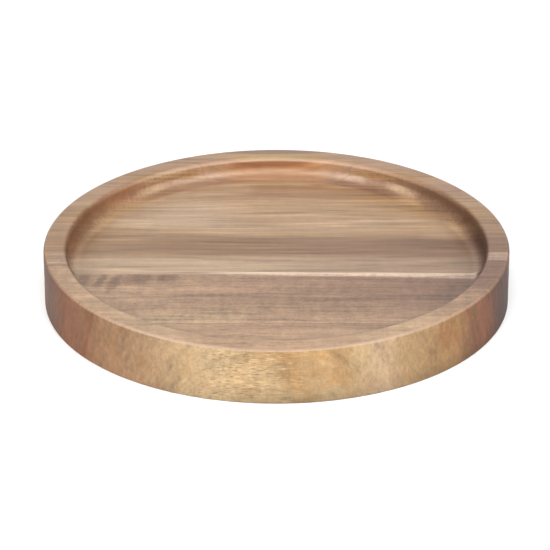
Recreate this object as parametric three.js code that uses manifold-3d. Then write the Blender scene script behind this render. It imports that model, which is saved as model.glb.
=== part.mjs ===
// A round wooden plate with a raised rim, turned from an edge-glued acacia panel.
// Millimetres, +Z up. The origin is the centre of the base, on the table.
// The staves run along X and lie side by side along Y, counted from the back (+Y) to the front (-Y).

import * as THREE from "three";
import { mergeVertices, toCreasedNormals } from "three/addons/utils/BufferGeometryUtils.js";
import Module from "manifold-3d";

// Driving dimensions of the turned shape
const PLATE_DIAMETER = 200;
const PLATE_HEIGHT = 25;
const RIM_WIDTH = 10;
const RECESS_DEPTH = 10;
const COVE_RADIUS = 6;
const OUTER_EDGE_ROUND = 1.5;
const INNER_EDGE_ROUND = 2.2;
const BASE_EDGE_ROUND = 1;

// Driving dimensions of the glued panel
const STAVE_WIDTH = 46.75;
const BACK_STAVE_WIDTH = 16.5;
const NARROWEST_STAVE = 6;
const GLUE_FILM = 0.2;

// How finely the round faces are cut into flat ones
const TURNS = 120;
const COVE_STEPS = 7;
const EDGE_STEPS = 4;
const SMOOTH_ANGLE = THREE.MathUtils.degToRad(30);

// Acacia stave colours from the back of the plate to the front, and the cured glue
const STAVE_COLOURS = [0xb89069, 0xc0a080, 0xb2937a, 0xb7977e, 0xcaa06c];
const STAVE_ROUGHNESS = 0.5;
const GLUE_COLOUR = 0x8a6a4a;
const GLUE_ROUGHNESS = 0.6;

const outerRadius = PLATE_DIAMETER / 2;
const innerRadius = outerRadius - RIM_WIDTH;
const floorHeight = PLATE_HEIGHT - RECESS_DEPTH;

const wasm = await Module();
wasm.setup();

// A closed three.js geometry as a manifold-3d solid.
function solidOf(geometry) {
  const bare = geometry.clone();
  bare.deleteAttribute("normal");
  bare.deleteAttribute("uv");
  const merged = mergeVertices(bare);
  return new wasm.Manifold(
    new wasm.Mesh({
      numProp: 3,
      vertProperties: merged.attributes.position.array,
      triVerts: new Uint32Array(merged.index.array),
    }),
  );
}

// A solid as a three.js geometry, smooth over the round faces and sharp at the cuts.
function geometryOf(solid) {
  const { vertProperties, triVerts } = solid.getMesh();
  const geometry = new THREE.BufferGeometry();
  geometry.setAttribute("position", new THREE.BufferAttribute(vertProperties, 3));
  geometry.setIndex(new THREE.BufferAttribute(triVerts, 1));
  return toCreasedNormals(geometry, SMOOTH_ANGLE);
}

// A quarter round in the turning profile, from one angle to another in quarter turns.
function quarterRound(radius, height, round, from, to, steps) {
  const quarter = Math.PI / 2;
  const curve = new THREE.EllipseCurve(
    radius, height, round, round, from * quarter, to * quarter, to < from,
  );
  return curve.getPoints(steps);
}

// The plate's half section, from the middle of the base out round the rim to the middle of the floor.
function turningProfile() {
  return [
    new THREE.Vector2(0, 0),
    ...quarterRound(outerRadius - BASE_EDGE_ROUND, BASE_EDGE_ROUND, BASE_EDGE_ROUND, -1, 0, EDGE_STEPS),
    ...quarterRound(
      outerRadius - OUTER_EDGE_ROUND, PLATE_HEIGHT - OUTER_EDGE_ROUND, OUTER_EDGE_ROUND, 0, 1, EDGE_STEPS,
    ),
    ...quarterRound(
      innerRadius + INNER_EDGE_ROUND, PLATE_HEIGHT - INNER_EDGE_ROUND, INNER_EDGE_ROUND, 1, 2, EDGE_STEPS,
    ),
    ...quarterRound(innerRadius - COVE_RADIUS, floorHeight + COVE_RADIUS, COVE_RADIUS, 0, -1, COVE_STEPS),
    new THREE.Vector2(0, floorHeight),
  ];
}

// The whole plate as turned on the lathe, before it is told apart into its staves.
function turnedPlate() {
  const lathe = new THREE.LatheGeometry(turningProfile(), TURNS);
  return solidOf(lathe.rotateX(Math.PI / 2));
}

// The part of the plate that lies between two planes across Y.
function sliceOf(plate, front, back) {
  const box = new THREE.BoxGeometry(2 * PLATE_DIAMETER, back - front, 2 * PLATE_HEIGHT);
  return plate.intersect(solidOf(box.translate(0, (front + back) / 2, PLATE_HEIGHT / 2)));
}

// Where the glue joints lie, from back to front: one stave apart, and clear of the front edge.
function jointPlaces() {
  const first = outerRadius - BACK_STAVE_WIDTH;
  const last = NARROWEST_STAVE - outerRadius;
  const steps = Math.floor((first - last) / STAVE_WIDTH);
  return Array.from({ length: steps + 1 }, (_, i) => first - i * STAVE_WIDTH);
}

function pieceFrom(solid, name, material) {
  const mesh = new THREE.Mesh(geometryOf(solid), material);
  mesh.name = name;
  return mesh;
}

// The wooden strips, each from one glue film to the next.
function makeStaves(plate, joints) {
  const staves = new THREE.Group();
  const edges = [PLATE_DIAMETER, ...joints, -PLATE_DIAMETER];
  edges.slice(1).forEach((front, i) => {
    const oiledAcacia = new THREE.MeshStandardMaterial({
      color: STAVE_COLOURS[i % STAVE_COLOURS.length],
      roughness: STAVE_ROUGHNESS,
      metalness: 0,
    });
    const strip = sliceOf(plate, front + GLUE_FILM / 2, edges[i] - GLUE_FILM / 2);
    staves.add(pieceFrom(strip, `stave_${i + 1}`, oiledAcacia));
  });
  return staves;
}

// The cured glue between each pair of staves, flush with the wood all round.
function makeGlueFilms(plate, joints) {
  const films = new THREE.Group();
  const curedGlue = new THREE.MeshStandardMaterial({
    color: GLUE_COLOUR,
    roughness: GLUE_ROUGHNESS,
    metalness: 0,
  });
  joints.forEach((y, i) => {
    const film = sliceOf(plate, y - GLUE_FILM / 2, y + GLUE_FILM / 2);
    films.add(pieceFrom(film, `glue_joint_${i + 1}`, curedGlue));
  });
  return films;
}

const plate = turnedPlate();
const joints = jointPlaces();
const woodenPlate = new THREE.Group();
woodenPlate.name = "wooden_plate";
woodenPlate.add(makeStaves(plate, joints), makeGlueFilms(plate, joints));

export default woodenPlate;
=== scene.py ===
"""A round acacia plate with a raised rim, turned from an edge-glued panel, in a plain white studio.

Metres, +Z up, +X along the grain, +Y across the staves to the back. The origin is the centre of the base.
"""
import math

import bmesh
import bpy
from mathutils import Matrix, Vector


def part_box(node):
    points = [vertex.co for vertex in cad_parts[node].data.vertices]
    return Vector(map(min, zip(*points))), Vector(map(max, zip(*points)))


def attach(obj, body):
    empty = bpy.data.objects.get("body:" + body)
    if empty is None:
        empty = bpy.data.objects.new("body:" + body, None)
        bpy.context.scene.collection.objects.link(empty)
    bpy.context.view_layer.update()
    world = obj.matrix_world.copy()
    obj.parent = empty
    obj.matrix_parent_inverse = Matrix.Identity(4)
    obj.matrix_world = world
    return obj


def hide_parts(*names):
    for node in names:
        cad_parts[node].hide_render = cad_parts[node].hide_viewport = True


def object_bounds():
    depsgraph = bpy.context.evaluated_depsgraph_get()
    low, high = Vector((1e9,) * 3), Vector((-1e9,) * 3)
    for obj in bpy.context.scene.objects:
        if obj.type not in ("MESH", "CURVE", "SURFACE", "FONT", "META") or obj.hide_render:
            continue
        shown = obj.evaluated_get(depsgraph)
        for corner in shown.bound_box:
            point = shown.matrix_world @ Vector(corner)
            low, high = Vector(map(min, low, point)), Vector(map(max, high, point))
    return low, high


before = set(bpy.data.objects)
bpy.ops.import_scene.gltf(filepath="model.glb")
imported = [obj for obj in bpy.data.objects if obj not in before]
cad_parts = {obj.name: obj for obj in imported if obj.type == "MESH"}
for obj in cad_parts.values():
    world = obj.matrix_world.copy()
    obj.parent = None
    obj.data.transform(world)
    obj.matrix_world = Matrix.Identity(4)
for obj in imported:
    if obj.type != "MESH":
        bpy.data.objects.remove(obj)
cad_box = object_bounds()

bl_info = {
    "name": "Turned acacia plate",
    "version": (1, 0, 0),
    "blender": (4, 5, 0),
    "location": "3D Viewport > Sidebar > Plate",
    "description": "Makes a plate turned from edge-glued acacia staves, and a plain studio to show it in",
    "category": "Add Mesh",
}

MM = 0.001
STAVES = sorted(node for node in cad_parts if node.startswith("stave"))
GLUE_JOINTS = sorted(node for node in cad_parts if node.startswith("glue_joint"))

# Driving sizes of the turned shape, and the faces that the woods' stains keep to, in millimetres
PLATE_RADIUS = round((cad_box[1][0] - cad_box[0][0]) / 2 / MM, 3)
PLATE_HEIGHT = round((cad_box[1][2] - cad_box[0][2]) / MM, 3)
RIM_WIDTH = 10
RECESS_DEPTH = 10
COVE_RADIUS = 6
FLOOR_HEIGHT = PLATE_HEIGHT - RECESS_DEPTH
INNER_WALL = PLATE_RADIUS - RIM_WIDTH
COVE_FOOT = INNER_WALL - COVE_RADIUS
RIM_MIDDLE = PLATE_RADIUS - RIM_WIDTH / 2


def linear(hex_colour):
    """An sRGB hex colour as linear red, green and blue."""
    channels = [int(hex_colour[i:i + 2], 16) / 255 for i in (0, 2, 4)]
    return [c / 12.92 if c <= 0.04045 else ((c + 0.055) / 1.055) ** 2.4 for c in channels]


def size(name, description, millimetres):
    """A length that a user can change, given in millimetres."""
    return bpy.props.FloatProperty(
        name=name, description=description, default=millimetres * MM, min=0.0, unit="LENGTH", precision=4,
    )


def colour(name, description, hex_colour):
    """A colour that a user can change, given as sRGB hex."""
    return bpy.props.FloatVectorProperty(
        name=name, description=description, default=linear(hex_colour), subtype="COLOR", min=0.0, max=1.0,
    )


def power(name, description, watts):
    """The power of a light, which a user can change."""
    return bpy.props.FloatProperty(name=name, description=description, default=watts, unit="POWER")


class PlateShape(bpy.types.PropertyGroup):
    """The turned shape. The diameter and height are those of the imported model."""

    diameter: size("Diameter", "Across the outer wall", 2 * PLATE_RADIUS)
    height: size("Height", "From the table to the top of the rim", PLATE_HEIGHT)
    rim_width: size("Rim width", "From the outer wall to the inner wall", RIM_WIDTH)
    recess_depth: size("Recess depth", "From the top of the rim down to the floor", RECESS_DEPTH)
    cove_radius: size("Cove radius", "Hollow round between the inner wall and the floor", COVE_RADIUS)
    outer_edge_round: size("Outer edge round", "Round on the outer top edge of the rim", 1.5)
    inner_edge_round: size("Inner edge round", "Round on the inner top edge of the rim", 2.2)
    base_edge_round: size("Base edge round", "Round on the edge that meets the table", 1)


class WoodColours(bpy.types.PropertyGroup):
    """The colours of the oiled acacia and of the glue between the staves."""

    golden_tan: colour("Golden tan", "Front stave, on its wall", "947C58")
    orange_tan: colour("Orange tan", "Warmer clouds in the front stave", "88663C")
    pinkish_tan: colour("Pinkish tan", "Front staves, on the rim and floor", "9D7D5F")
    # The oil in the cove is painted shade along its foot, with dark smears in the wood.
    mauve_brown: colour("Mauve brown", "Dark heartwood to the right, and oil in the cove", "6F4E3B")
    sapwood: colour("Sapwood", "Pale wedge along the middle joint, and pale streaks", "B89D87")
    sapwood_edge: colour("Sapwood edge", "Palest sapwood, beside that joint", "CDB098")
    greyish_tan: colour("Greyish tan", "Light wood before the dark band, and the glue there", "A58A6D")
    heart_band: colour("Heartwood band", "Dark band along the middle stave", "7F5C3B")
    light_tan: colour("Light tan", "Palest straight-grained wood on the floor", "A88D72")
    straight_tan: colour("Straight tan", "Light straight-grained wood behind the middle", "A0805E")
    reddish_tan: colour("Reddish tan", "Redder wood towards the back", "94714C")
    rosy_tan: colour("Rosy tan", "Pinker wood in the cove at the back", "947356")
    orange_red: colour("Orange red", "Back stave, in the cove", "A0754F")
    # Russet on the inner wall is painted shade.
    russet: colour("Russet", "Redder wood on the inner wall, and a line in front", "895B3B")
    yellow_tan: colour("Yellow tan", "Back stave, on the inner half of the rim", "9C7E52")
    mauve_tan: colour("Mauve tan", "Back stave, on the outer half of the rim", "806047")
    fleck: colour("Fleck", "Soft dark flecks across the grain", "6D4D36")
    # Painted highlight: pale patches in the cove, and on the eased edges of the rim.
    pale_highlight: colour("Slant cut", "Pale patches in the cove, and the palest worn edges", "B59B89")
    # Partly wear, partly a painted highlight along the eased outer edge.
    worn_edge_and_highlight: colour("Worn edge", "The eased outer edge of the rim", "957C67")
    end_grain: colour("End grain", "What the cut ends of the fibres leave of the colour", "E2D2D4")
    dark_end_grain: colour("Dark end grain", "The same at the right end of the back staves", "A3969E")
    red_end_grain: colour("Red end grain", "The same on the front stave, which drinks more oil", "BB9873")
    gold_end_grain: colour("Gold end grain", "The same at the right end of the front stave", "DFBC8E")
    deep_end_grain: colour("Deep end grain", "The same on both sides of the front joint", "B88A62")
    mauve_end_grain: colour("Mauve end grain", "The same on the second stave", "9D8376")
    # Besides the vessels and the handled rim, pore paints the shade on the inner wall.
    pore: colour("Pore", "The open vessels, and wood darkened by oil", "64452A")
    # Cream also paints a highlight at the top of the inner wall, to the left.
    cream: colour("Cream", "Pale dashes between the open vessels, and patches", "B89C76")
    light_glue: colour("Light glue", "Glue line in front of the back stave", "967560")
    tan_glue: colour("Tan glue", "Glue line between the light staves", "866749")
    dark_glue: colour("Dark glue", "Glue line behind the front stave", "5E4030")


class Studio(bpy.types.PropertyGroup):
    """The softboxes and the floor."""

    front_power: power("Front softbox", "Power of the wide softbox in front", 48)
    side_power: power("Side softboxes", "Power of each of the two small ones at the sides", 11)
    top_power: power("Top softbox", "Power of the softbox overhead", 8)
    back_power: power("Back panel", "Power of the lit panel behind the plate", 18)
    fill: bpy.props.FloatProperty(
        name="Fill", description="Brightness of the white room", default=0.1, min=0.0,
    )
    floor: colour("Floor", "White acrylic table", "F2F2F2")


# Patterns


def add(tree, kind, inputs=(), stops=(), **settings):
    """Adds a shader node with its settings, ramp stops and inputs, and gives back its first output."""
    node = tree.nodes.new("ShaderNode" + kind)
    for key, value in settings.items():
        setattr(node, key, value)
    if stops:
        ramp = node.color_ramp.elements
        while len(ramp) < len(stops):
            ramp.new(1.0)
        for element, (position, tint) in zip(ramp, stops):
            element.position = position
            element.color = (*tint, 1.0)
    sockets = [socket for socket in node.inputs if socket.enabled]
    pairs = inputs.items() if isinstance(inputs, dict) else enumerate(inputs)
    for key, value in pairs:
        socket = sockets[key] if isinstance(key, int) else next(s for s in sockets if s.name == key)
        if isinstance(value, bpy.types.NodeSocket):
            tree.links.new(value, socket)
        elif socket.type == "RGBA":
            socket.default_value = (*value, 1.0)
        else:
            socket.default_value = value
    return next(output for output in node.outputs if output.enabled)


def around(tree, place, middle, full, none, inside=1.0, outside=0.0):
    """A soft mask about a middle: one value out to a full distance, and another from none on."""
    distance = add(tree, "Math", (place, middle), operation="SUBTRACT")
    distance = add(tree, "Math", (distance,), operation="ABSOLUTE")
    return add(tree, "MapRange", (distance, full, none, inside, outside), interpolation_type="SMOOTHSTEP")


def stain(tree, tone, tint, *masks, blend="MIX"):
    """Lays a tint over a tone where all of its masks hold."""
    strength = masks[0]
    for mask in masks[1:]:
        strength = add(tree, "Math", (strength, mask), operation="MULTIPLY")
    inputs = {"Factor": strength, "A": tone, "B": tint}
    return add(tree, "Mix", inputs, data_type="RGBA", blend_type=blend)


def growth_bands(tree, growth, bands):
    """Colour that changes across the growth rings, from (millimetres, colour) pairs."""
    first, last = bands[0][0], bands[-1][0]
    place = add(tree, "MapRange", (growth, first, last, 0.0, 1.0))
    stops = [((at - first) / (last - first), tint) for at, tint in bands]
    return add(tree, "ValToRGB", (place,), stops=stops)


# What all the staves share


def open_wood(name, lean, sway):
    """Starts a wood and gives its places in millimetres.

    They run along the grain, across it and up, then across the growth rings, and out from the middle.
    The rings lean: growth is the place across the stave at the floor of the recess.
    """
    material = bpy.data.materials.new(name)
    material.use_nodes = True
    tree = material.node_tree
    place = add(tree, "TexCoord").node.outputs["Object"]
    place = add(tree, "VectorMath", (place, (1 / MM, 1 / MM, 1 / MM)), operation="MULTIPLY")
    x, y, z = add(tree, "SeparateXYZ", (place,)).node.outputs
    # The fibres wander a millimetre or two over a hand's width.
    slow = add(tree, "VectorMath", (place, (1 / 70, 1 / 25, 1 / 25)), operation="MULTIPLY")
    wander = add(tree, "TexNoise", {"Vector": slow, "Scale": 1.0, "Detail": 1.0})
    start = -FLOOR_HEIGHT * lean
    wander = add(tree, "MapRange", (wander, 0.0, 1.0, start - sway, start + sway))
    growth = add(tree, "Math", (z, lean, y), operation="MULTIPLY_ADD")
    growth = add(tree, "Math", (growth, wander), operation="ADD")
    outward = add(tree, "CombineXYZ", (x, y))
    radius = add(tree, "VectorMath", (outward,), operation="LENGTH").node.outputs["Value"]
    return material, x, y, z, growth, radius


def wood_figure(tree, tone, places, sideways, woods, lines=0.27, pores=0.15, curl=0.04, mottle=0.03):
    """Lays the figure over a tone. Gives back the tone, the grain lines, the vessels and the mottle."""
    x, y, z, growth, _ = places
    place = add(tree, "CombineXYZ", (x, y, z))
    fibres = add(tree, "CombineXYZ", (x, growth, z))
    # Dark and pale grain lines 1 to 2 mm wide that run on for 20 to 60 mm, over even wood.
    grain = add(tree, "VectorMath", (fibres, (1 / 45, 1 / 2.2, 1 / 20)), operation="MULTIPLY")
    line = add(tree, "TexNoise", {"Vector": grain, "Scale": 1.0, "Detail": 3.0, "Roughness": 0.6})
    dark = add(tree, "MapRange", (line, 0.53, 0.66, 0.0, -1.0))
    pale = add(tree, "MapRange", (line, 0.47, 0.34, 0.0, 1.0))
    shade = add(tree, "Math", (dark, pale), operation="ADD")
    blur = add(tree, "MapRange", (sideways, 0.3, 0.8, 1.0, 0.4))
    blur = add(tree, "Math", (blur, lines), operation="MULTIPLY")
    shade = add(tree, "Math", (shade, blur, 1.0), operation="MULTIPLY_ADD")
    # Broader streaks 5 to 8 mm wide that run on for a hand's width.
    streak = add(tree, "VectorMath", (grain, (0.4, 0.34, 0.5)), operation="MULTIPLY")
    streak = add(tree, "TexNoise", {"Vector": streak, "Scale": 1.0, "Detail": 2.0})
    streak = add(tree, "MapRange", (streak, 0.3, 0.7, -0.08, 0.08))
    shade = add(tree, "Math", (shade, streak), operation="ADD")
    # Curl: ripples across the grain, 4 to 6 mm from one to the next.
    ripple = add(tree, "VectorMath", (place, (1 / 4, 1 / 12, 1 / 16)), operation="MULTIPLY")
    ripple = add(tree, "TexNoise", {"Vector": ripple, "Scale": 1.0, "Detail": 3.0, "Roughness": 0.6})
    ripple = add(tree, "MapRange", (ripple, 0.3, 0.7, -curl, curl))
    shade = add(tree, "Math", (shade, ripple), operation="ADD")
    # Mottle, strongest on the cut ends: vessels and rays 0.2 mm across, drawn 1 to 2 mm to show.
    speckle = add(tree, "VectorMath", (place, (1.0, 1.0, 0.6)), operation="MULTIPLY")
    speckle = add(tree, "TexNoise", {"Vector": speckle, "Scale": 1 / 1.6, "Detail": 3.0, "Roughness": 0.75})
    speckle = add(tree, "MapRange", (speckle, 0.3, 0.7, -1.0, 1.0))
    strength = add(tree, "MapRange", (sideways, 0.2, 0.6, mottle, 0.23))
    shade = add(tree, "Math", (speckle, strength, shade), operation="MULTIPLY_ADD")
    tone = stain(tree, tone, shade, 1.0, blend="MULTIPLY")
    # Vessels cut open lengthwise: dashes 2 to 5 mm long. They are 0.2 mm wide, and drawn 0.5 mm to show.
    vessel = add(tree, "VectorMath", (fibres, (1 / 5.5, 1 / 0.9, 1 / 0.9)), operation="MULTIPLY")
    vessel = add(tree, "TexVoronoi", {"Vector": vessel, "Scale": 1.0})
    vessel = add(tree, "MapRange", (vessel, 0.12, 0.45, pores, 0.0))
    lengthwise = add(tree, "MapRange", (sideways, 0.3, 0.6, 1.0, 0.0))
    vessel = add(tree, "Math", (vessel, lengthwise), operation="MULTIPLY")
    return stain(tree, tone, woods.pore, vessel), line, vessel, speckle


def cove_patches(tree, tone, places, sideways, upward, speckle, woods):
    """Painted highlight in pale patches where the cove slants to the side and upward, with a gap to the
    right.
    """
    x, y, z, growth, radius = places
    far = add(tree, "Math", (x,), operation="ABSOLUTE")
    # Faces below the rim that slant both to the side and upward.
    slant = [
        add(tree, "MapRange", (facing, none, full, 0.0, 1.0), interpolation_type="SMOOTHSTEP")
        for facing, none, full in (
            (sideways, 0.12, 0.32), (sideways, 0.85, 0.6), (upward, 0.1, 0.3), (upward, 0.85, 0.5),
        )
    ]
    below_rim = add(tree, "MapRange", (z, PLATE_HEIGHT - 1.5, PLATE_HEIGHT - 3, 0.0, 1.0))
    slant.append(below_rim)
    # The patches of painted highlight are 3 to 8 mm across.
    patchy = add(tree, "CombineXYZ", (x, growth, z))
    patchy = add(tree, "VectorMath", (patchy, (1 / 7.5, 3 / 11, 3 / 10)), operation="MULTIPLY")
    patchy = add(tree, "TexNoise", {"Vector": patchy, "Scale": 1.0, "Detail": 4.0, "Roughness": 0.7})
    patchy = add(tree, "MapRange", (patchy, 0.35, 0.65, 0.1, 0.8))
    near = add(tree, "MapRange", (far, 66.0, 56.0, 0.0, 1.0), interpolation_type="SMOOTHSTEP")
    gap = around(tree, x, 45.0, 3.0, 8.0, 0.0, 1.0)
    fainter = add(tree, "MapRange", (x, -15.0, 15.0, 0.5, 1.0))
    tone = stain(tree, tone, woods.pale_highlight, *slant, patchy, near, gap, fainter)
    # Two yellower ones lie further out.
    spots = around(tree, far, 56.0, 1.0, 9.0, 0.6)
    uneven = add(tree, "MapRange", (speckle, -0.8, 0.8, 0.5, 1.0))
    tone = stain(tree, tone, woods.cream, *slant, spots, uneven)
    # The floor is paler at its right end, behind the middle.
    spot = around(tree, y, 35.0, 6.0, 14.0, 0.5)
    right = add(tree, "MapRange", (x, 60.0, 74.0, 0.0, 1.0))
    floor = add(tree, "MapRange", (radius, COVE_FOOT + 3, COVE_FOOT, 0.0, 1.0))
    return stain(tree, tone, woods.light_tan, spot, right, floor)


def inner_wall_shade(tree, tone, places, upward, woods):
    """Painted shade on the inner wall: darker to the right, and redder to the left behind the middle."""
    x, y, _, _, radius = places
    inside = add(tree, "MapRange", (radius, RIM_MIDDLE + 1, RIM_MIDDLE - 1, 0.0, 1.0))
    # Painted shade, darker to the right.
    shaded_right = add(tree, "MapRange", (x, 45.0, 75.0, 0.0, 0.5))
    upright = add(tree, "MapRange", (upward, 0.25, 0.05, 0.0, 1.0))
    tone = stain(tree, tone, woods.pore, shaded_right, upright, inside)
    # Painted shade in russet, to the left behind the middle.
    redder = add(tree, "MapRange", (x, -54.0, -68.0, 0.0, 0.55))
    upright = add(tree, "MapRange", (upward, 0.6, 0.2, 0.0, 1.0))
    behind = add(tree, "MapRange", (y, 25.0, 45.0, 0.0, 1.0))
    return stain(tree, tone, woods.russet, redder, upright, behind, inside)


def rim_wear(tree, tone, places, upward, speckle, woods):
    """Handling darkens the ends of the rim. Its eased edges are painted pale: wear and a painted highlight
    outside, a painted highlight inside at the back.
    """
    x, y, z, _, radius = places
    # At the left end only the wood behind the middle is darker.
    left = add(tree, "MapRange", (x, -80.0, -95.0, 0.0, 0.2))
    behind = add(tree, "MapRange", (y, -14.0, -6.0, 0.0, 1.0))
    right = add(tree, "MapRange", (x, 55.0, 95.0, 0.0, 0.15))
    handled = add(tree, "Math", (left, behind, right), operation="MULTIPLY_ADD")
    top = add(tree, "MapRange", (z, PLATE_HEIGHT - 2, PLATE_HEIGHT - 0.5, 0.0, 1.0))
    tone = stain(tree, tone, woods.pore, handled, top)
    # The outer edge is worn in spots, palest to the sides, and painted paler as a highlight on the eased
    # edge.
    far = add(tree, "Math", (x,), operation="ABSOLUTE")
    edge = add(tree, "MapRange", (z, PLATE_HEIGHT - 2.5, PLATE_HEIGHT - 1.5, 0.0, 1.0))
    flat = add(tree, "MapRange", (upward, 0.99, 0.88, 0.0, 1.0))
    upright = add(tree, "MapRange", (upward, 0.15, 0.5, 0.0, 1.0))
    outside = add(tree, "MapRange", (radius, RIM_MIDDLE - 1, RIM_MIDDLE + 1, 0.0, 0.85))
    spots = add(tree, "MapRange", (speckle, -0.6, 0.6, 0.7, 1.1))
    fainter = add(tree, "MapRange", (far, 65.0, 95.0, 1.0, 0.4))
    paler = add(tree, "MapRange", (far, 20.0, 50.0, 0.0, 0.5))
    paler = stain(tree, woods.worn_edge_and_highlight, woods.pale_highlight, paler)
    tone = stain(tree, tone, paler, outside, edge, flat, upright, spots, fainter)
    # A painted highlight lies evenly along the inner edge, at the back.
    slope = add(tree, "Math", (upward, upward), operation="MULTIPLY")
    slope = add(tree, "Math", (upward, slope), operation="SUBTRACT")
    behind = add(tree, "MapRange", (y, 40.0, 80.0, 0.0, 1.35))
    inside = add(tree, "MapRange", (radius, RIM_MIDDLE + 1, RIM_MIDDLE - 1, 0.0, 1.0))
    return stain(tree, tone, woods.pale_highlight, slope, edge, behind, inside)


def base_shade(tree, tone, places, upward):
    """Painted shade on the edge that stands on the table, and on the wall above it, less to the left."""
    x, _, z, _, _ = places
    # Painted shade, darkest at the edge on the table.
    low_shade = add(tree, "MapRange", (z, 0.1, 0.9, 0.6, 1.0))
    above = add(tree, "MapRange", (z, 0.5, 9.0, 0.32, 0.0))
    right = add(tree, "MapRange", (x, -70.0, -15.0, 0.15, 1.0))
    above = add(tree, "Math", (above, right), operation="MULTIPLY")
    low_shade = add(tree, "Math", (low_shade, above), operation="SUBTRACT")
    wall = add(tree, "MapRange", (upward, -0.95, -0.7, 0.0, 1.0))
    return stain(tree, tone, low_shade, wall, blend="MULTIPLY")


def close_wood(material, tone, places, woods, ends, **figure):
    """Adds what all the staves share: figure, cut ends, painted highlights in the cove, painted shade on
    the inner wall and the base, wear, and the satin finish.
    """
    tree = material.node_tree
    normal = add(tree, "TexCoord").node.outputs["Normal"]
    sideways, _, upward = add(tree, "SeparateXYZ", (normal,)).node.outputs
    sideways = add(tree, "Math", (sideways,), operation="ABSOLUTE")
    tone, line, vessel, speckle = wood_figure(tree, tone, places, sideways, woods, **figure)
    # Cut across the fibres, the wood drinks more oil: darker, redder and less glossy.
    cut_ends = add(tree, "MapRange", (sideways, 0.25, 0.95, 0.0, 1.0), interpolation_type="SMOOTHSTEP")
    tone = stain(tree, tone, ends, cut_ends, blend="MULTIPLY")
    tone = cove_patches(tree, tone, places, sideways, upward, speckle, woods)
    tone = inner_wall_shade(tree, tone, places, upward, woods)
    tone = rim_wear(tree, tone, places, upward, speckle, woods)
    tone = base_shade(tree, tone, places, upward)
    # The oil leaves a satin sheen, duller on the dark lines and on the cut ends.
    rough = add(tree, "MapRange", (line, 0.2, 0.8, 0.34, 0.46))
    rough = add(tree, "Math", (cut_ends, 0.25, rough), operation="MULTIPLY_ADD")
    # The open vessels are about a tenth of a millimetre deep.
    relief = add(tree, "Math", (line, vessel), operation="SUBTRACT")
    relief = add(tree, "Bump", {"Strength": 0.4, "Distance": 0.12 * MM, "Height": relief})
    shader = tree.nodes["Principled BSDF"]
    shader.inputs["IOR"].default_value = 1.5
    tree.links.new(tone, shader.inputs["Base Color"])
    tree.links.new(rough, shader.inputs["Roughness"])
    tree.links.new(relief, shader.inputs["Normal"])
    return material


# What two staves share


def cove_foot(tree, tone, x, radius, woods):
    """Darkens the foot of the cove at the back: a line of painted shade in the crease, and two dark smears
    in the wood to the right.
    """
    # Pale wood lies in front of it, in the middle.
    pale = around(tree, radius, COVE_FOOT, 0.8, 2.0, 0.9)
    middle = around(tree, x, -4.0, 12.0, 24.0)
    tone = stain(tree, tone, woods.light_tan, pale, middle)
    # The line of painted shade along the crease at the foot of the cove.
    foot = add(tree, "MapRange", (x, 5.0, 20.0, COVE_FOOT + 3.4, COVE_FOOT + 2.9))
    oil = around(tree, radius, foot, 0.6, 2.2)
    deeper = add(tree, "MapRange", (x, -8.0, -16.0, 0.0, 0.2))
    right = add(tree, "MapRange", (x, 18.0, 27.0, 0.3, 0.9))
    deeper = add(tree, "Math", (deeper, right), operation="ADD")
    left = add(tree, "MapRange", (x, -66.0, -52.0, 0.0, 1.0), interpolation_type="SMOOTHSTEP")
    right = add(tree, "MapRange", (x, 52.0, 44.0, 0.0, 1.0), interpolation_type="SMOOTHSTEP")
    for mask in (deeper, left, right):
        oil = add(tree, "Math", (oil, mask), operation="MULTIPLY")
    broad = around(tree, radius, foot, 0.5, 3.5)
    for at, full, none, strength in ((45.0, 4.0, 14.0, 0.75), (70.0, 2.0, 9.0, 0.5)):
        smear = around(tree, x, at, full, none, strength)
        smear = add(tree, "Math", (smear, broad), operation="MULTIPLY")
        oil = add(tree, "Math", (oil, smear), operation="MAXIMUM")
    return stain(tree, tone, woods.mauve_brown, oil)


def dark_ends(tree, x, left, behind, woods):
    """The tint of the cut ends: darkest to the right, and darker to the left where both masks hold."""
    right = add(tree, "MapRange", (x, 20.0, 85.0, 0.0, 1.0), interpolation_type="SMOOTHSTEP")
    dark = add(tree, "Math", (left, behind, right), operation="MULTIPLY_ADD")
    return stain(tree, woods.end_grain, woods.dark_end_grain, dark)


def sapwood_shows(tree, x, radius):
    """How far the sapwood shows: not at the left end, by half on the rim, and not in the cove or on the
    inner wall, which stay darker as painted shade.
    """
    floor = add(tree, "MapRange", (radius, COVE_FOOT + 1.5, COVE_FOOT + 3, 1.0, 0.0))
    rim = add(tree, "MapRange", (radius, INNER_WALL, INNER_WALL + 1.5, 0.0, 0.5))
    level = add(tree, "Math", (floor, rim), operation="MAXIMUM")
    right = add(tree, "MapRange", (x, -34.0, -20.0, 0.0, 1.0))
    return add(tree, "Math", (level, right), operation="MULTIPLY")


# Materials


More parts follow.
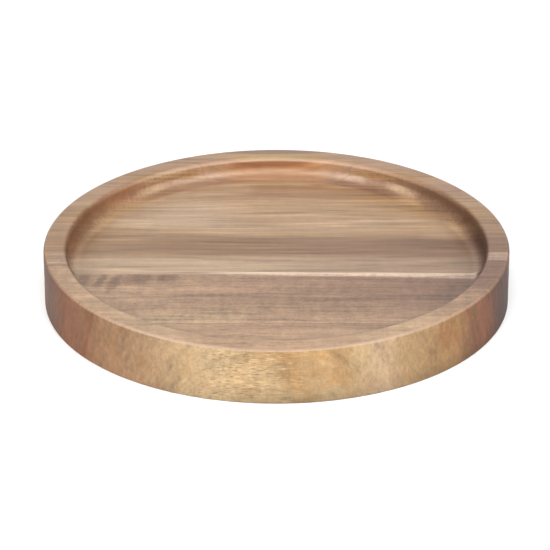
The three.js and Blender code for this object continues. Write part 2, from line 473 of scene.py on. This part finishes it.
def reddish_straight_acacia(woods):
    """Oiled acacia, straight-grained and reddish: an orange-red cove, and a yellow and mauve rim."""
    material, *places = open_wood("acacia_reddish_straight_oiled", lean=0.5, sway=0.8)
    tree = material.node_tree
    x, _, z, growth, radius = places
    tone = growth_bands(tree, growth, (
        (83.0, woods.rosy_tan),
        (85.5, woods.orange_red),
        (93.9, woods.orange_red),
        (94.9, woods.yellow_tan),
        (98.5, woods.yellow_tan),
        (100.0, woods.mauve_tan),
        (104.0, woods.mauve_tan),
    ))
    # Pinker to both sides.
    to_the_sides = around(tree, x, 0.0, 12.0, 32.0, 0.0, 0.9)
    tone = stain(tree, tone, woods.rosy_tan, to_the_sides)
    tone = cove_foot(tree, tone, x, radius, woods)
    # Painted shade in russet on the upper inner wall, in the middle.
    above_cove = add(tree, "MapRange", (z, 19.4, 20.8, 0.0, 1.0))
    below_rim = add(tree, "MapRange", (z, 23.0, 23.8, 1.0, 0.0))
    inside = add(tree, "MapRange", (radius, RIM_MIDDLE - 1, RIM_MIDDLE + 1, 1.0, 0.0))
    middle = around(tree, x, -3.0, 13.0, 24.0)
    tone = stain(tree, tone, woods.russet, above_cove, below_rim, inside, middle)
    return close_wood(material, tone, places, woods, woods.end_grain, lines=0.2)


def light_straight_acacia(woods):
    """Oiled acacia, straight-grained and light: crisp even lines, paler to the left, redder at the back."""
    material, *places = open_wood("acacia_light_straight_oiled", lean=2.3, sway=2.0)
    tree = material.node_tree
    x, y, z, growth, radius = places
    tone = growth_bands(tree, growth, (
        (36, woods.straight_tan),
        (63, woods.straight_tan),
        (68, woods.rosy_tan),
        (86, woods.rosy_tan),
        (90, woods.reddish_tan),
        (94, woods.reddish_tan),
        (100, woods.rosy_tan),
    ))
    # The palest wood lies on the floor to the left, and ends in streaks 3 mm wide.
    streaks = add(tree, "CombineXYZ", (x, growth))
    streaks = add(tree, "VectorMath", (streaks, (1 / 60, 1 / 3, 1.0)), operation="MULTIPLY")
    streaks = add(tree, "TexNoise", {"Vector": streaks, "Scale": 1.0, "Detail": 2.0})
    streaks = add(tree, "MapRange", (streaks, 0.25, 0.75, -40.0, -64.0))
    left = around(tree, x, streaks, 10.0, 45.0)
    front = add(tree, "MapRange", (growth, 79.0, 72.0, 0.0, 1.0), interpolation_type="SMOOTHSTEP")
    floor = add(tree, "MapRange", (radius, COVE_FOOT, COVE_FOOT + 2, 1.0, 0.0))
    tone = stain(tree, tone, woods.light_tan, left, front, floor)
    # A pale streak to the right, near the front of the stave.
    streak = around(tree, growth, 44.6, 0.6, 1.8, 0.6)
    right = add(tree, "MapRange", (x, 15.0, 40.0, 0.0, 1.0))
    tone = stain(tree, tone, woods.sapwood, streak, right, floor)
    # Another one further back lies left of the middle.
    streak = around(tree, growth, 77.0, 2.5, 6.0, 0.6)
    left = add(tree, "MapRange", (x, -7.0, -13.0, 0.0, 1.0))
    far = add(tree, "MapRange", (x, -48.0, -28.0, 0.0, 1.0))
    tone = stain(tree, tone, woods.light_tan, streak, left, far, floor)
    tone = cove_foot(tree, tone, x, radius, woods)
    # A painted highlight at the top of the inner wall, in one place to the left.
    top = add(tree, "MapRange", (z, 20.8, 22.3, 0.0, 0.6))
    inside = add(tree, "MapRange", (radius, INNER_WALL + 0.4, INNER_WALL + 1.4, 1.0, 0.0))
    left = around(tree, x, -52.0, 4.0, 14.0)
    tone = stain(tree, tone, woods.cream, top, inside, left)
    # The ends are darker to the right, and to the left as far back as one broad growth ring.
    left = add(tree, "MapRange", (x, -60.0, -75.0, 0.0, 0.5))
    ring = add(tree, "MapRange", (y, 50.0, 47.0, 0.0, 1.0))
    ends = dark_ends(tree, x, left, ring, woods)
    # The grain lines are stronger to the right.
    lines = add(tree, "MapRange", (x, -45.0, 25.0, 0.23, 0.35))
    return close_wood(material, tone, places, woods, ends, lines=lines)


def banded_heartwood_acacia(woods):
    """Oiled acacia with a soft dark heartwood band that leans across the stave and dies out to the left."""
    material, *places = open_wood("acacia_banded_heartwood_oiled", lean=1.95, sway=1.5)
    tree = material.node_tree
    x, y, _, growth, radius = places
    tone = growth_bands(tree, growth, (
        (-14, woods.greyish_tan),
        (3, woods.greyish_tan),
        (10, woods.heart_band),
        (22, woods.heart_band),
        (35, woods.straight_tan),
        (38, woods.straight_tan),
        (43, woods.reddish_tan),
    ))
    # The left end is greyer on the floor, and redder on the inner wall and the rim.
    left = add(tree, "MapRange", (x, -45.0, -85.0, 0.0, 0.4))
    floor = add(tree, "MapRange", (radius, COVE_FOOT + 1, COVE_FOOT - 1, 0.0, 1.0))
    tone = stain(tree, tone, woods.greyish_tan, left, floor)
    left = add(tree, "MapRange", (x, -76.0, -92.0, 0.0, 0.8), interpolation_type="SMOOTHSTEP")
    behind = add(tree, "MapRange", (y, -1.0, 5.0, 0.15, 1.0))
    rim = add(tree, "MapRange", (radius, INNER_WALL, INNER_WALL + 2, behind, 0.6))
    tone = stain(tree, tone, woods.reddish_tan, left, rim)
    # Darker to the right, in front of the back edge of the band.
    right = add(tree, "MapRange", (x, -35.0, 90.0, 0.0, 0.6), interpolation_type="SMOOTHSTEP")
    front = add(tree, "MapRange", (growth, 22.0, 30.0, 1.0, 0.0), interpolation_type="SMOOTHSTEP")
    tone = stain(tree, tone, woods.mauve_brown, right, front)
    # The right end is darkest just behind the band, on the rim and the inner wall.
    end = around(tree, y, 16.0, 4.0, 14.0, 0.4)
    right = add(tree, "MapRange", (x, 82.0, 90.0, 0.0, 1.0))
    tone = stain(tree, tone, woods.mauve_brown, end, right)
    # A pale line along the middle of the back joint.
    pale = add(tree, "MapRange", (y, 35.2, 36.0, 0.0, 0.8))
    middle = around(tree, x, 8.0, 25.0, 50.0)
    tone = stain(tree, tone, woods.sapwood, pale, middle)
    # A thread of sapwood along the front joint, fainter and thinner to the right.
    thread = add(tree, "Math", (x, 0.01, y), operation="MULTIPLY_ADD")
    thread = add(tree, "MapRange", (thread, -8.0, -8.5, 0.0, 1.0))
    fainter = add(tree, "MapRange", (x, 30.0, 80.0, 1.0, 0.7))
    tone = stain(tree, tone, woods.sapwood_edge, thread, sapwood_shows(tree, x, radius), fainter)
    # The ends are darker to the right, and to the left towards the back.
    left = add(tree, "MapRange", (x, -60.0, -80.0, 0.0, 0.5))
    behind = add(tree, "MapRange", (y, 8.0, 30.0, 0.0, 1.0))
    ends = dark_ends(tree, x, left, behind, woods)
    return close_wood(material, tone, places, woods, ends)


def pinkish_curly_acacia(woods):
    """Oiled acacia, pinkish brown with curl, darker to the right, with a pale sapwood wedge behind."""
    material, *places = open_wood("acacia_pinkish_curly_oiled", lean=0.3, sway=2.0)
    tree = material.node_tree
    x, y, z, growth, radius = places
    across = growth_bands(tree, growth, [
        (at, (heart, heart, heart))
        for at, heart in ((-58, 0.15), (-48, 0.3), (-38, 0.8), (-30, 1.0), (-10, 1.0))
    ])
    right = add(tree, "MapRange", (x, -70.0, 85.0, 0.05, 1.0))
    tone = stain(tree, woods.pinkish_tan, woods.mauve_brown, across, right)
    # A soft pale streak along the front joint, left of the middle.
    streak = add(tree, "MapRange", (y, -43.0, -49.0, 0.0, 0.4), interpolation_type="SMOOTHSTEP")
    left = around(tree, x, -37.0, 10.0, 32.0)
    tone = stain(tree, tone, woods.cream, streak, left)
    # Soft dark flecks that slant across the grain at the left end: place and half size in millimetres.
    slope, thick, ragged_by = 0.24, 10.0, Vector((4.0, 6.0, 3.0))
    slanted = add(tree, "Math", (y, -slope, x), operation="MULTIPLY_ADD")
    slanted = add(tree, "CombineXYZ", (slanted, y, z))
    ragged = add(tree, "TexNoise", {"Vector": slanted, "Scale": 0.35, "Detail": 3.0, "Roughness": 0.7})
    ragged = ragged.node.outputs["Color"]
    slanted = add(tree, "VectorMath", (ragged, ragged_by, slanted), operation="MULTIPLY_ADD")
    flecks = 0.0
    for at, behind, wide, deep in (
        (-83, -17, 3.2, 9.0),
        (-75, -16, 2.3, 8.0),
        (-69, -19, 3.0, 10.0),
        (-59, -15, 7.5, 6.5),
        (-47, -14, 5.0, 5.0),
    ):
        middle = Vector((at - slope * behind, behind, FLOOR_HEIGHT)) + ragged_by / 2
        scale = Vector((1 / wide, 1 / deep, 1 / thick))
        fleck = add(tree, "VectorMath", (slanted, scale, -middle * scale), operation="MULTIPLY_ADD")
        fleck = add(tree, "VectorMath", (fleck,), operation="LENGTH").node.outputs["Value"]
        fleck = add(tree, "MapRange", (fleck, 1.25, 0.4, 0.0, 0.75), interpolation_type="SMOOTHSTEP")
        flecks = add(tree, "Math", (flecks, fleck), operation="MAXIMUM")
    tone = stain(tree, tone, woods.fleck, flecks)
    # The sapwood wedge widens by 4 mm in every 100 mm along the joint, and upwards, and pales towards it.
    wedge = add(tree, "Math", (x, 0.04, y), operation="MULTIPLY_ADD")
    wedge = add(tree, "Math", (z, 0.21, wedge), operation="MULTIPLY_ADD")
    wedge = add(tree, "MapRange", (wedge, -9.1, -6.9, 0.0, 1.0), interpolation_type="SMOOTHSTEP")
    paler = add(tree, "MapRange", (y, -13.0, -11.0, 0.0, 1.0))
    middle = around(tree, x, 12.0, 25.0, 50.0, 1.0, 0.3)
    pale = stain(tree, woods.sapwood, woods.sapwood_edge, paler, middle)
    tone = stain(tree, tone, pale, wedge, sapwood_shows(tree, x, radius))
    # The ends are redder towards the front.
    redder = add(tree, "MapRange", (y, -30.0, -50.0, 0.0, 1.0), interpolation_type="SMOOTHSTEP")
    ends = stain(tree, woods.mauve_end_grain, woods.deep_end_grain, redder)
    return close_wood(material, tone, places, woods, ends, lines=0.28, pores=0.4, curl=0.15, mottle=0.18)


def tan_flat_sawn_acacia(woods):
    """Oiled acacia, flat-sawn: pinkish on the rim, golden on the front wall with dashes of open pores."""
    material, *places = open_wood("acacia_tan_flat_sawn_oiled", lean=0.25, sway=1.0)
    tree = material.node_tree
    x, y, z, _, radius = places
    place = add(tree, "CombineXYZ", (x, y, z))
    wall = add(tree, "MapRange", (radius, PLATE_RADIUS - 0.8, PLATE_RADIUS - 0.2, 0.0, 1.0))
    off_wall = add(tree, "Math", (1.0, wall), operation="SUBTRACT")
    golden = add(tree, "MapRange", (x, -60.0, -32.0, 0.35, 1.0))
    tone = stain(tree, woods.pinkish_tan, woods.golden_tan, golden, wall)
    # The rim pales to both sides, about 50 mm from the middle.
    pale = add(tree, "Math", (x,), operation="ABSOLUTE")
    pale = add(tree, "Math", (pale, 50.0), operation="SUBTRACT")
    pale = add(tree, "Math", (pale,), operation="ABSOLUTE")
    pale = add(tree, "MapRange", (pale, 8.0, 20.0, 0.35, 0.0))
    rim = add(tree, "MapRange", (radius, INNER_WALL, INNER_WALL + 1, 0.0, 1.0))
    tone = stain(tree, tone, woods.cream, pale, rim, off_wall)
    # A soft dark streak beside the joint, right of the middle.
    streak = around(tree, y, -60.0, 1.0, 4.0)
    right = add(tree, "MapRange", (x, -25.0, 45.0, 0.0, 0.5))
    tone = stain(tree, tone, woods.mauve_brown, streak, right, off_wall)
    # Warmer clouds on the wall, 16 mm across, the largest right of the middle.
    warm = add(tree, "TexNoise", {"Vector": place, "Scale": 1 / 16, "Detail": 3.0})
    largest = around(tree, x, 15.0, 6.0, 22.0, 0.14)
    warm = add(tree, "Math", (warm, largest), operation="ADD")
    warm = add(tree, "MapRange", (warm, 0.5, 0.72, 0.0, 0.8), interpolation_type="SMOOTHSTEP")
    tone = stain(tree, tone, woods.orange_tan, warm, wall)
    # A paler patch left of the middle.
    patch = around(tree, x, -27.0, 3.0, 18.0, 0.3)
    tone = stain(tree, tone, woods.cream, patch, wall)
    # A pinker flare to the right, broader below.
    broad = add(tree, "MapRange", (z, 2.0, 20.0, 15.0, 8.0))
    flare = around(tree, x, 43.0, 2.0, broad, 0.28)
    tone = stain(tree, tone, woods.sapwood, flare, wall)
    # The top of the wall is warmer in the middle.
    top = add(tree, "MapRange", (z, 15.0, 20.0, 0.0, 0.4))
    middle = around(tree, x, 5.0, 14.0, 24.0)
    tone = stain(tree, tone, woods.orange_tan, top, middle, wall)
    # The vessels surface as dark and pale dashes left of the middle of the wall, and run deeper elsewhere.
    pores = around(tree, x, -12.0, 10.0, 28.0, 0.6, 0.1)
    dashes = add(tree, "VectorMath", (place, (1 / 4, 1 / 4, 1 / 0.8)), operation="MULTIPLY")
    dashes = add(tree, "TexNoise", {"Vector": dashes, "Scale": 1.0, "Detail": 1.0})
    dashes = add(tree, "MapRange", (dashes, 0.54, 0.7, 0.0, 0.9))
    tone = stain(tree, tone, woods.cream, dashes, pores, wall)
    # A russet line that leans beside the joint, on the wall.
    line = add(tree, "Math", (x, -0.029, y), operation="MULTIPLY_ADD")
    line = add(tree, "Math", (z, 0.27, line), operation="MULTIPLY_ADD")
    line = around(tree, line, -56.9, 0.3, 1.5, 0.6)
    tone = stain(tree, tone, woods.russet, line, wall)
    # The ends are redder to the left, and most of all beside the joint.
    right = add(tree, "MapRange", (x, 20.0, 60.0, 0.0, 1.0))
    ends = stain(tree, woods.red_end_grain, woods.gold_end_grain, right)
    redder = add(tree, "MapRange", (y, -69.0, -59.0, 0.0, 1.0), interpolation_type="SMOOTHSTEP")
    ends = stain(tree, ends, woods.deep_end_grain, redder)
    return close_wood(material, tone, places, woods, ends, lines=0.22, pores=pores, curl=0.1, mottle=0.17)


def cured_glue(name, tint):
    """Cured wood glue, sanded flush: a hairline, glossier where it filled pores, darker on cut ends."""
    material = bpy.data.materials.new(name)
    material.use_nodes = True
    tree = material.node_tree
    place = add(tree, "TexCoord").node.outputs["Object"]
    # Patches 6 mm long and 3 mm high.
    place = add(tree, "VectorMath", (place, (1 / (6 * MM), 1 / MM, 1 / (3 * MM))), operation="MULTIPLY")
    patchy = add(tree, "TexNoise", {"Vector": place, "Scale": 1.0, "Detail": 2.0})
    shade = add(tree, "MapRange", (patchy, 0.25, 0.75, 0.75, 1.15))
    normal = add(tree, "TexCoord").node.outputs["Normal"]
    sideways = add(tree, "SeparateXYZ", (normal,))
    sideways = add(tree, "Math", (sideways,), operation="ABSOLUTE")
    cut_ends = add(tree, "MapRange", (sideways, 0.25, 0.95, 1.0, 0.55))
    shade = add(tree, "Math", (shade, cut_ends), operation="MULTIPLY")
    rough = add(tree, "MapRange", (patchy, 0.25, 0.75, 0.35, 0.5))
    shader = tree.nodes["Principled BSDF"]
    shader.inputs["IOR"].default_value = 1.48
    tree.links.new(stain(tree, tint, shade, 1.0, blend="MULTIPLY"), shader.inputs["Base Color"])
    tree.links.new(rough, shader.inputs["Roughness"])
    return material


def white_acrylic(tint):
    """White acrylic, sanded matt and lit from below: no gloss, and a glow that lifts the shadows."""
    material = bpy.data.materials.new("white_acrylic_matt_lit")
    material.use_nodes = True
    shader = material.node_tree.nodes["Principled BSDF"]
    shader.inputs["Base Color"].default_value = (*tint, 1.0)
    shader.inputs["Roughness"].default_value = 0.95
    shader.inputs["Specular IOR Level"].default_value = 0.0
    shader.inputs["Emission Color"].default_value = (1.0, 1.0, 1.0, 1.0)
    shader.inputs["Emission Strength"].default_value = 0.15
    return material


# Shapes


def turning_profile(shape):
    """The half section from the edge of the base, out round the rim and down the cove to the floor."""
    radius, height = shape.diameter / 2, shape.height
    floor = height - shape.recess_depth
    wall = radius - shape.rim_width
    base, outer, inner = shape.base_edge_round, shape.outer_edge_round, shape.inner_edge_round
    cove = shape.cove_radius
    rounds = (
        (radius - base, base, base, -90, 0, 6),
        (radius - outer, height - outer, outer, 0, 90, 8),
        (wall + inner, height - inner, inner, 90, 180, 8),
        (wall - cove, floor + cove, cove, 0, -90, 20),
    )
    for across, up, bend, start, end, steps in rounds:
        for i in range(steps + 1):
            angle = math.radians(start + (end - start) * i / steps)
            yield across + bend * math.cos(angle), up + bend * math.sin(angle)


def turned_plate(shape, turns=360):
    """The whole plate as it comes off the lathe, as a closed bmesh."""
    plate = bmesh.new()
    angles = [2 * math.pi * k / turns for k in range(turns)]
    rings = []
    for across, up in turning_profile(shape):
        rings.append([plate.verts.new((across * math.cos(a), across * math.sin(a), up)) for a in angles])
    for low, high in zip(rings, rings[1:]):
        for k in range(turns):
            following = (k + 1) % turns
            plate.faces.new((low[k], low[following], high[following], high[k]))
    plate.faces.new(rings[-1])
    plate.faces.new(list(reversed(rings[0])))
    return plate


def slice_of_plate(shape, node):
    """The part of the plate that lies in a node's place between the glue lines, as an object."""
    plate = turned_plate(shape)
    low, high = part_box(node)
    # A limit on the outer wall has nothing to cut off.
    outer_wall = shape.diameter / 2 - 0.1 * MM
    for limit, way in ((low.y, -1), (high.y, 1)):
        if abs(limit) > outer_wall:
            continue
        everything = plate.verts[:] + plate.edges[:] + plate.faces[:]
        cut = bmesh.ops.bisect_plane(
            plate, geom=everything, plane_co=(0, limit, 0), plane_no=(0, way, 0), clear_outer=True,
        )
        edges = [part for part in cut["geom_cut"] if isinstance(part, bmesh.types.BMEdge)]
        bmesh.ops.contextual_create(plate, geom=edges)
        for edge in edges:
            edge.smooth = False
    bmesh.ops.recalc_face_normals(plate, faces=plate.faces)
    for face in plate.faces:
        face.smooth = True
    mesh = bpy.data.meshes.new(node)
    plate.to_mesh(mesh)
    plate.free()
    piece = bpy.data.objects.new("turned_" + node, mesh)
    bpy.context.scene.collection.objects.link(piece)
    piece.modifiers.new("flat faces shade flat", "WEIGHTED_NORMAL").keep_sharp = True
    return piece


def seat(piece, node, material):
    """Gives a piece its material and puts it in the place of its node."""
    piece.data.materials.append(material)
    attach(piece, "root")
    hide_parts(node)


def aim(thing, place, target):
    """Stands a lamp or a camera in its place and turns it to its target."""
    thing.location = place
    thing.rotation_euler = (Vector(target) - Vector(place)).to_track_quat("-Z", "Y").to_euler()


def softbox(name, place, target, across, watts):
    """A lit rectangle that faces its target."""
    light = bpy.data.lights.new(name, "AREA")
    light.shape = "RECTANGLE"
    light.size, light.size_y = across
    light.energy = watts
    lamp = bpy.data.objects.new(name, light)
    aim(lamp, place, target)
    bpy.context.scene.collection.objects.link(lamp)


# Operators


class PLATE_OT_staves(bpy.types.Operator):
    """Make the five acacia staves"""

    bl_idname = "plate.staves"
    bl_label = "Staves"

    def execute(self, context):
        woods = context.scene.plate_woods
        kinds = (
            reddish_straight_acacia,
            light_straight_acacia,
            banded_heartwood_acacia,
            pinkish_curly_acacia,
            tan_flat_sawn_acacia,
        )
        for node, kind in zip(STAVES, kinds, strict=True):
            seat(slice_of_plate(context.scene.plate_shape, node), node, kind(woods))
        return {"FINISHED"}


class PLATE_OT_glue_joints(bpy.types.Operator):
    """Make the films of cured glue between the staves"""

    bl_idname = "plate.glue_joints"
    bl_label = "Glue joints"

    def execute(self, context):
        woods = context.scene.plate_woods
        tints = (woods.light_glue, woods.tan_glue, woods.greyish_tan, woods.dark_glue)
        for node, tint in zip(GLUE_JOINTS, tints, strict=True):
            glue = cured_glue("wood_glue_cured_" + node, tint)
            seat(slice_of_plate(context.scene.plate_shape, node), node, glue)
        return {"FINISHED"}


class PLATE_OT_studio(bpy.types.Operator):
    """Make the floor, the softboxes and the camera"""

    bl_idname = "plate.studio"
    bl_label = "Studio"

    def execute(self, context):
        scene, studio = context.scene, context.scene.plate_studio
        bpy.ops.mesh.primitive_plane_add(size=6)
        floor = context.object
        floor.name = "acrylic_table"
        floor.data.materials.append(white_acrylic(studio.floor))

        plate = (0, 0, 0.02)
        softbox("front_softbox", (0, -1.55, 0.95), plate, (2.6, 0.8), studio.front_power)
        softbox("left_softbox", (-1.3, -1.09, 0.86), plate, (0.4, 0.4), studio.side_power)
        softbox("right_softbox", (1.3, -1.09, 0.86), plate, (0.4, 0.4), studio.side_power)
        softbox("top_softbox", (0, 0, 1.5), (0, 0.01, 0.02), (1.2, 1.0), studio.top_power)
        softbox("back_panel", (0, 1.9, 0.9), (0, 0, 0.05), (3.0, 1.5), studio.back_power)
        scene.world = bpy.data.worlds.new("white_room")
        scene.world.use_nodes = True
        room = scene.world.node_tree.nodes["Background"]
        room.inputs["Color"].default_value = (1, 1, 1, 1)
        room.inputs["Strength"].default_value = studio.fill
        scene.view_settings.view_transform = "Standard"

        # A long lens, 26 degrees above the table.
        lens = bpy.data.cameras.new("camera")
        lens.sensor_fit = "HORIZONTAL"
        lens.sensor_width = 36
        lens.lens = 212.2
        distance, tilt = 1.4, math.radians(26.05)
        middle = Vector((-0.00064, 0, 0.0096))
        place = middle + distance * Vector((0, -math.cos(tilt), math.sin(tilt)))
        scene.camera = bpy.data.objects.new("camera", lens)
        aim(scene.camera, place, middle)
        scene.collection.objects.link(scene.camera)
        return {"FINISHED"}


class PLATE_PT_panel(bpy.types.Panel):
    """Sizes, colours and makers of the plate"""

    bl_idname = "PLATE_PT_panel"
    bl_label = "Acacia plate"
    bl_space_type = "VIEW_3D"
    bl_region_type = "UI"
    bl_category = "Plate"

    def draw(self, context):
        scene = context.scene
        for group in (scene.plate_shape, scene.plate_woods, scene.plate_studio):
            box = self.layout.box()
            for field in group.bl_rna.properties:
                if field.identifier not in ("rna_type", "name"):
                    box.prop(group, field.identifier)
        for operator in (PLATE_OT_staves, PLATE_OT_glue_joints, PLATE_OT_studio):
            self.layout.operator(operator.bl_idname)


CLASSES = (
    PlateShape,
    WoodColours,
    Studio,
    PLATE_OT_staves,
    PLATE_OT_glue_joints,
    PLATE_OT_studio,
    PLATE_PT_panel,
)


def register():
    for cls in CLASSES:
        bpy.utils.register_class(cls)
    bpy.types.Scene.plate_shape = bpy.props.PointerProperty(type=PlateShape)
    bpy.types.Scene.plate_woods = bpy.props.PointerProperty(type=WoodColours)
    bpy.types.Scene.plate_studio = bpy.props.PointerProperty(type=Studio)


def unregister():
    del bpy.types.Scene.plate_studio
    del bpy.types.Scene.plate_woods
    del bpy.types.Scene.plate_shape
    for cls in reversed(CLASSES):
        bpy.utils.unregister_class(cls)


def main():
    register()
    bpy.ops.plate.studio()
    bpy.ops.plate.staves()
    bpy.ops.plate.glue_joints()


if __name__ == "__main__":
    main()
